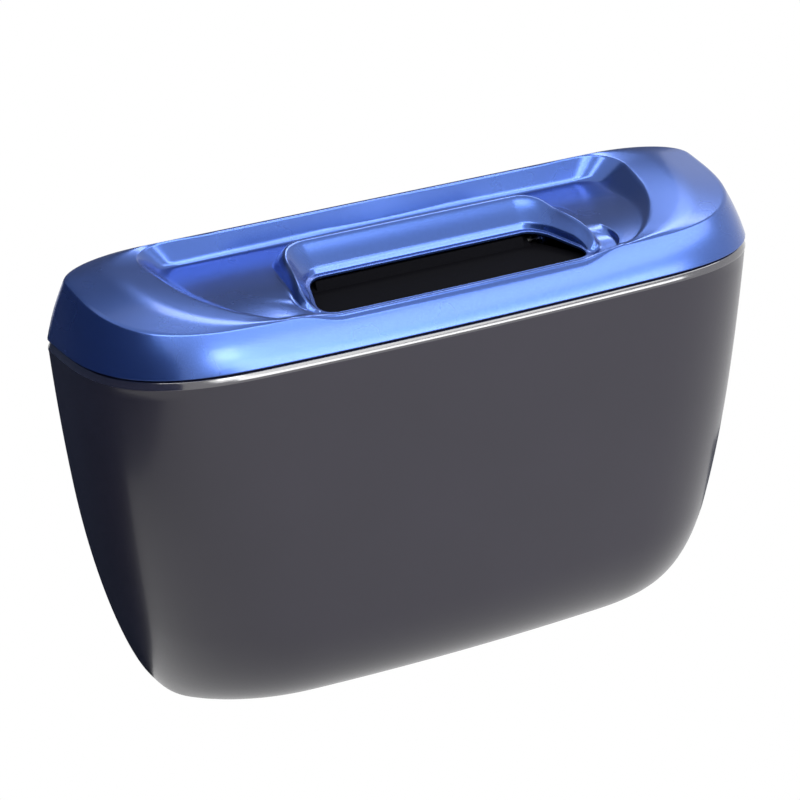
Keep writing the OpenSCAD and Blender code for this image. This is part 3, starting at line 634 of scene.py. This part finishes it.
# Hooks. Black moulded plates pushed down into the guides on the back, each
# bent over at the top into a tongue that hangs over a pocket's edge.
for side, name in ((-1, "hook_left"), (1, "hook_right")):
    y, z, thick = 33.7, 118.5, 2.6
    bend = [(y, z - 5.6), (y, z - thick)]
    bend += [(y + thick * (1 - math.cos(math.radians(a))),
              z - thick * (1 - math.sin(math.radians(a)))) for a in range(15, 91, 15)]
    bend += [(y + 10.6 + thick * math.cos(math.radians(a)),
              z - thick * (1 - math.sin(math.radians(a)))) for a in range(90, -1, -15)]
    bend += [(y + 13.2, z - 25), (y + 14.6, z - 29.2), (y + 12.0, z - 29.6), (y + 10.6, z - 25),
             (y + 10.6, z - 3.4), (y + 9.8, z - thick), (y + thick, z - thick),
             (y + thick, z - 5.6)]
    hook = side_profile(name + "_tongue", bend, side * hook_x, 15, 0.45)
    plate = side_profile(name + "_plate", [
        (y, z - 28.8), (y + thick, z - 28.8), (y + thick, z - 3.6), (y, z - 3.6)],
        side * hook_x, 20, 0.45)
    hook = joined(hook, plate)
    # The hooks share the flap's material, whose black is pushed darker than the plastic as
    # painted shade.
    hook.data.materials.clear()
    hook.data.materials.append(black_and_painted_shade)
    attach(hook, "bin_body")
    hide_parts(name)

# Steel fittings. Drawn wire and rod: the flap's shaft and its two springs, and
# the pins of the rear hinge.
bright_steel, nodes, links, metal = new_material("bright_steel")
drawn = noise_on_object(nodes, links, 900, 2.0)
metal_mix = nodes.new("ShaderNodeMix")
metal_mix.data_type = "RGBA"
metal_mix.inputs["A"].default_value = (0.46, 0.46, 0.48, 1)
metal_mix.inputs["B"].default_value = (0.62, 0.62, 0.64, 1)
links.new(drawn.outputs["Fac"], metal_mix.inputs["Factor"])
links.new(metal_mix.outputs["Result"], metal.inputs["Base Color"])
drawn_range = nodes.new("ShaderNodeMapRange")
drawn_range.inputs["To Min"].default_value = 0.22
drawn_range.inputs["To Max"].default_value = 0.36
links.new(drawn.outputs["Fac"], drawn_range.inputs["Value"])
links.new(drawn_range.outputs["Result"], metal.inputs["Roughness"])
metal.inputs["Metallic"].default_value = 1.0
for name in ("flap_shaft", "flap_spring_left", "flap_spring_right",
             "hinge_pin_left", "hinge_pin_right"):
    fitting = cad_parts[name]
    fitting.data.materials.clear()
    fitting.data.materials.append(bright_steel)

# Studio. A pale floor, a white surround and soft boxes in front, behind and above.
def shows_white(nodes, links):
    """1 for the rays that see the white background: from the camera, from a gloss
    or through a clear part"""
    rays = nodes.new("ShaderNodeLightPath")
    either_ray = nodes.new("ShaderNodeMath")
    either_ray.operation = "MAXIMUM"
    links.new(rays.outputs["Is Camera Ray"], either_ray.inputs[0])
    links.new(rays.outputs["Is Glossy Ray"], either_ray.inputs[1])
    any_ray = nodes.new("ShaderNodeMath")
    any_ray.operation = "MAXIMUM"
    links.new(either_ray.outputs["Value"], any_ray.inputs[0])
    links.new(rays.outputs["Is Transmission Ray"], any_ray.inputs[1])
    return any_ray.outputs["Value"]


clear_selection()
bpy.ops.mesh.primitive_plane_add(size=8, location=(0, 0, -0.0005))
floor = bpy.context.object
floor.name = "studio_floor"
floor_paint, nodes, links, floor_shader = new_material("studio_floor")
floor_shader.inputs["Base Color"].default_value = (0.9, 0.9, 0.9, 1)
floor_shader.inputs["Roughness"].default_value = 0.9
lit = nodes.new("ShaderNodeEmission")
lit.inputs["Color"].default_value = (1, 1, 1, 1)
either = nodes.new("ShaderNodeMixShader")
links.new(shows_white(nodes, links), either.inputs["Fac"])
links.new(floor_shader.outputs["BSDF"], either.inputs[1])
links.new(lit.outputs["Emission"], either.inputs[2])
links.new(either.outputs["Shader"], nodes["Material Output"].inputs["Surface"])
floor.data.materials.append(floor_paint)

surround = bpy.data.worlds.new("surround")
bpy.context.scene.world = surround
surround.use_nodes = True
nodes, links = surround.node_tree.nodes, surround.node_tree.links
backdrop = nodes["Background"]
backdrop.inputs["Color"].default_value = (1, 1, 1, 1)
dim = nodes.new("ShaderNodeBackground")
dim.inputs["Color"].default_value = (0.9, 0.94, 1, 1)
dim.inputs["Strength"].default_value = 0.35
either = nodes.new("ShaderNodeMixShader")
links.new(shows_white(nodes, links), either.inputs["Fac"])
links.new(dim.outputs["Background"], either.inputs[1])
links.new(backdrop.outputs["Background"], either.inputs[2])
links.new(either.outputs["Shader"], nodes["World Output"].inputs["Surface"])


def soft_box(name, location, size_x, size_y, power, towards=(0, 0, 0.1)):
    clear_selection()
    bpy.ops.object.light_add(type="AREA", location=location)
    box = bpy.context.object
    box.name = name
    box.data.shape = "RECTANGLE"
    box.data.size = size_x
    box.data.size_y = size_y
    box.data.energy = power
    aim = Vector(towards) - Vector(location)
    box.rotation_mode = "QUATERNION"
    box.rotation_quaternion = aim.to_track_quat("-Z", "Y")


soft_box("front_box", (0.1, -1.38, 1.13), 0.3, 0.3, 2.5)
soft_box("long_box", (0.81, -1.11, 1.13), 2.4, 0.45, 12)
soft_box("edge_box", (-0.1, -0.75, 1.5), 1.6, 0.3, 11)
soft_box("rim_box", (0.68, -1.3, 0.64), 1.1, 0.3, 7, (0.68, 0, 0.1))
soft_box("back_box", (0.70, 0.8, 1.3), 0.7, 0.3, 4.5)

# Dark cards stand beside the left end and behind, and one lies behind on the
# floor, out of the camera's sight, so that the gloss turns dark as in the photograph.
for name, colour, location, turn, size in (
        ("side_card", (0.03, 0.05, 0.11), (-0.24, 0.12, 0.175), (0, 90, 0), (0.35, 0.95)),
        ("back_card", (0.2, 0.21, 0.25), (-0.45, 1.7, 1.1), (90, 0, 0), (3.6, 2.2)),
        ("floor_card", (0.01, 0.02, 0.05), (-0.16, 0.29, 0.0005), (0, 0, 0), (0.7, 0.54))):
    clear_selection()
    bpy.ops.mesh.primitive_plane_add(size=1, location=location,
                                     rotation=[math.radians(a) for a in turn])
    card = bpy.context.object
    card.name = name
    card.scale = (size[0], size[1], 1)
    card_paint, nodes, links, card_shader = new_material(name)
    card_shader.inputs["Base Color"].default_value = (*colour, 1)
    card_shader.inputs["Roughness"].default_value = 0.9
    card.data.materials.append(card_paint)
    card.visible_camera = False
    card.visible_shadow = False
    card.visible_diffuse = False
